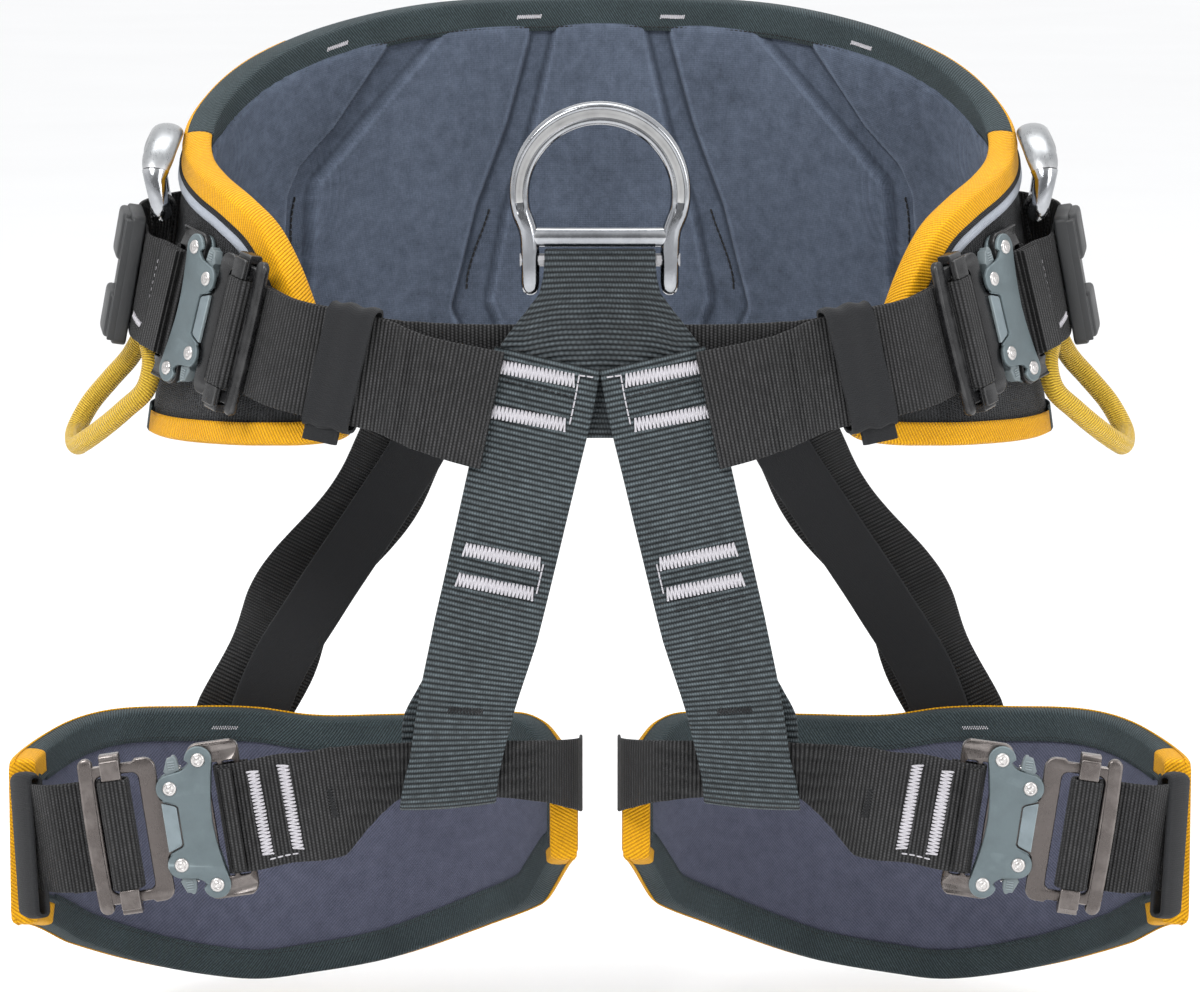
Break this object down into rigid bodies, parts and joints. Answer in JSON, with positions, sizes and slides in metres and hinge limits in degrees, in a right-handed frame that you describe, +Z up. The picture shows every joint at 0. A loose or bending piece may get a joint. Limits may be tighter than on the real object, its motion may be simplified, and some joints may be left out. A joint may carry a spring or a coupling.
{
  "type": "tree climbing saddle",
  "caption": "Padded waist belt with leg loops, a front D-ring, side D-rings, tool plates, gear loops and quick-release buckles with adjusters.",
  "frame": {"origin": "centre of the waist opening, level with the pin of the front D-ring", "axes": "+X to the right seen from the front, +Y to the back of the wearer, +Z up"},
  "size_m": [0.4818, 0.2418, 0.4104],
  "materials": {
    "panel_foam": "matt blue-grey spacer fabric over foam",
    "shell_mesh": "black air mesh",
    "black_webbing": "ribbed black polyester webbing",
    "slate_webbing": "ribbed slate webbing with a slight shine",
    "elastic": "flat matt black elastic",
    "polished_aluminium": "polished",
    "steel_pin": "plain steel",
    "buckle_plate": "satin grey-green anodised plate",
    "buckle_lever": "grey moulded tab",
    "black_bracket": "satin black",
    "bronze_adjuster": "dark bronze satin",
    "tool_plastic": "moulded black",
    "gear_loop_cord": "braided yellow cord sheath",
    "edge_binding": "dark grey-green twill tape",
    "yellow_trim": "yellow ribbed tape",
    "reflective_piping": "pale reflective piping",
    "thread": "pale sewing thread",
    "rivet": "bright rivet heads"
  },
  "bodies": {
    "harness": {"waist_pad": "panel_foam", "waist_shell": "shell_mesh", "waist_webbing": "black_webbing", "tie_in_loop": "slate_webbing", "front_strap_left": "black_webbing", "side_ring_loop_left": "black_webbing", "tool_plate_left": "tool_plastic", "riser_left": "slate_webbing", "leg_pad_left": "panel_foam", "leg_strap_fixed_left": "black_webbing", "leg_strap_adjust_left": "black_webbing", "leg_sleeve_left": "elastic", "rear_elastic_left": "elastic", "rear_webbing_left": "black_webbing", "buckle_front_plate_waist_left": "buckle_plate", "buckle_back_plate_waist_left": "buckle_plate", "buckle_strap_frame_waist_left": "black_bracket", "buckle_front_plate_leg_left": "buckle_plate", "buckle_back_plate_leg_left": "buckle_plate", "buckle_strap_frame_leg_left": "black_bracket", "front_strap_right": "black_webbing", "side_ring_loop_right": "black_webbing", "tool_plate_right": "tool_plastic", "riser_right": "slate_webbing", "leg_pad_right": "panel_foam", "leg_strap_fixed_right": "black_webbing", "leg_strap_adjust_right": "black_webbing", "leg_sleeve_right": "elastic", "rear_elastic_right": "elastic", "rear_webbing_right": "black_webbing", "buckle_front_plate_waist_right": "buckle_plate", "buckle_back_plate_waist_right": "buckle_plate", "buckle_strap_frame_waist_right": "black_bracket", "buckle_front_plate_leg_right": "buckle_plate", "buckle_back_plate_leg_right": "buckle_plate", "buckle_strap_frame_leg_right": "black_bracket"},
    "ventral_ring": {"ventral_ring": "polished_aluminium", "ventral_ring_pin": "steel_pin"},
    "strap_keeper_left": {"strap_keeper_left": "elastic"},
    "side_ring_left": {"side_ring_left": "polished_aluminium"},
    "gear_loop_left": {"gear_loop_left": "gear_loop_cord"},
    "lever_upper_waist_left": {"buckle_lever_upper_waist_left": "buckle_lever"},
    "lever_lower_waist_left": {"buckle_lever_lower_waist_left": "buckle_lever"},
    "adjuster_waist_left": {"adjuster_frame_waist_left": "bronze_adjuster"},
    "slider_waist_left": {"adjuster_slider_waist_left": "bronze_adjuster"},
    "lever_upper_leg_left": {"buckle_lever_upper_leg_left": "buckle_lever"},
    "lever_lower_leg_left": {"buckle_lever_lower_leg_left": "buckle_lever"},
    "adjuster_leg_left": {"adjuster_frame_leg_left": "bronze_adjuster"},
    "slider_leg_left": {"adjuster_slider_leg_left": "bronze_adjuster"},
    "strap_keeper_right": {"strap_keeper_right": "elastic"},
    "side_ring_right": {"side_ring_right": "polished_aluminium"},
    "gear_loop_right": {"gear_loop_right": "gear_loop_cord"},
    "lever_upper_waist_right": {"buckle_lever_upper_waist_right": "buckle_lever"},
    "lever_lower_waist_right": {"buckle_lever_lower_waist_right": "buckle_lever"},
    "adjuster_waist_right": {"adjuster_frame_waist_right": "bronze_adjuster"},
    "slider_waist_right": {"adjuster_slider_waist_right": "bronze_adjuster"},
    "lever_upper_leg_right": {"buckle_lever_upper_leg_right": "buckle_lever"},
    "lever_lower_leg_right": {"buckle_lever_lower_leg_right": "buckle_lever"},
    "adjuster_leg_right": {"adjuster_frame_leg_right": "bronze_adjuster"},
    "slider_leg_right": {"adjuster_slider_leg_right": "bronze_adjuster"}
  },
  "joints": [
    {"name": "ventral_ring_swing", "type": "hinge", "parent": "harness", "child": "ventral_ring", "pos_m": [0, -0.125, 0], "axis": [1, 0, 0], "range_deg": [-35, 85]},
    {"name": "side_ring_swing_left", "type": "hinge", "parent": "harness", "child": "side_ring_left", "pos_m": [-0.1826, -0.005, 0.0105], "axis": [0.0698, -0.9976, 0], "range_deg": [0, 38]},
    {"name": "gear_loop_swing_left", "type": "hinge", "parent": "harness", "child": "gear_loop_left", "pos_m": [-0.191, -0.01, -0.048], "axis": [0, 1, 0], "range_deg": [-8, 25], "stiffness_Nm_per_rad": 0.3},
    {"name": "keeper_slide_left", "type": "slide", "parent": "harness", "child": "strap_keeper_left", "axis": [-0.9221, 0.354, 0.1564], "range_m": [-0.006, 0.003]},
    {"name": "lever_upper_press_waist_left", "type": "hinge", "parent": "harness", "child": "lever_upper_waist_left", "pos_m": [-0.15796, -0.06503, -0.01391], "axis": [-0.7783, -0.6081, 0.1564], "range_deg": [0, 12], "stiffness_Nm_per_rad": 0.02},
    {"name": "lever_lower_press_waist_left", "type": "hinge", "parent": "harness", "child": "lever_lower_waist_left", "pos_m": [-0.16549, -0.06327, -0.04454], "axis": [0.7783, 0.6081, -0.1564], "range_deg": [0, 12], "stiffness_Nm_per_rad": 0.02},
    {"name": "buckle_release_waist_left", "type": "slide", "parent": "harness", "child": "adjuster_waist_left", "axis": [0.5808, -0.7919, -0.1885], "range_m": [0, 0.022], "deforming": ["front_strap_left"]},
    {"name": "slider_grip_waist_left", "type": "slide", "parent": "adjuster_waist_left", "child": "slider_waist_left", "axis": [-0.5808, 0.7919, 0.1885], "range_m": [0, 0.004]},
    {"name": "lever_upper_press_leg_left", "type": "hinge", "parent": "harness", "child": "lever_upper_leg_left", "pos_m": [-0.17324, -0.1205, -0.21382], "axis": [0, 1, 0], "range_deg": [0, 12], "stiffness_Nm_per_rad": 0.02},
    {"name": "lever_lower_press_leg_left", "type": "hinge", "parent": "harness", "child": "lever_lower_leg_left", "pos_m": [-0.16862, -0.1205, -0.24508], "axis": [0, -1, 0], "range_deg": [0, 12], "stiffness_Nm_per_rad": 0.02},
    {"name": "buckle_release_leg_left", "type": "slide", "parent": "harness", "child": "adjuster_leg_left", "axis": [-0.9893, 0, -0.1461], "range_m": [0, 0.022], "deforming": ["leg_strap_adjust_left"]},
    {"name": "slider_grip_leg_left", "type": "slide", "parent": "adjuster_leg_left", "child": "slider_leg_left", "axis": [0.9893, 0, 0.1461], "range_m": [0, 0.004]},
    {"name": "side_ring_swing_right", "type": "hinge", "parent": "harness", "child": "side_ring_right", "pos_m": [0.1826, -0.005, 0.0105], "axis": [0.0698, 0.9976, 0], "range_deg": [0, 38]},
    {"name": "gear_loop_swing_right", "type": "hinge", "parent": "harness", "child": "gear_loop_right", "pos_m": [0.191, -0.01, -0.048], "axis": [0, -1, 0], "range_deg": [-8, 25], "stiffness_Nm_per_rad": 0.3},
    {"name": "keeper_slide_right", "type": "slide", "parent": "harness", "child": "strap_keeper_right", "axis": [0.9221, 0.354, 0.1564], "range_m": [-0.006, 0.003]},
    {"name": "lever_upper_press_waist_right", "type": "hinge", "parent": "harness", "child": "lever_upper_waist_right", "pos_m": [0.15796, -0.06503, -0.01391], "axis": [-0.7783, 0.6081, -0.1564], "range_deg": [0, 12], "stiffness_Nm_per_rad": 0.02},
    {"name": "lever_lower_press_waist_right", "type": "hinge", "parent": "harness", "child": "lever_lower_waist_right", "pos_m": [0.16549, -0.06327, -0.04454], "axis": [0.7783, -0.6081, 0.1564], "range_deg": [0, 12], "stiffness_Nm_per_rad": 0.02},
    {"name": "buckle_release_waist_right", "type": "slide", "parent": "harness", "child": "adjuster_waist_right", "axis": [-0.5808, -0.7919, -0.1885], "range_m": [0, 0.022], "deforming": ["front_strap_right"]},
    {"name": "slider_grip_waist_right", "type": "slide", "parent": "adjuster_waist_right", "child": "slider_waist_right", "axis": [0.5808, 0.7919, 0.1885], "range_m": [0, 0.004]},
    {"name": "lever_upper_press_leg_right", "type": "hinge", "parent": "harness", "child": "lever_upper_leg_right", "pos_m": [0.17324, -0.1205, -0.21382], "axis": [0, -1, 0], "range_deg": [0, 12], "stiffness_Nm_per_rad": 0.02},
    {"name": "lever_lower_press_leg_right", "type": "hinge", "parent": "harness", "child": "lever_lower_leg_right", "pos_m": [0.16862, -0.1205, -0.24508], "axis": [0, 1, 0], "range_deg": [0, 12], "stiffness_Nm_per_rad": 0.02},
    {"name": "buckle_release_leg_right", "type": "slide", "parent": "harness", "child": "adjuster_leg_right", "axis": [0.9893, 0, -0.1461], "range_m": [0, 0.022], "deforming": ["leg_strap_adjust_right"]},
    {"name": "slider_grip_leg_right", "type": "slide", "parent": "adjuster_leg_right", "child": "slider_leg_right", "axis": [-0.9893, 0, 0.1461], "range_m": [0, 0.004]}
  ]
}
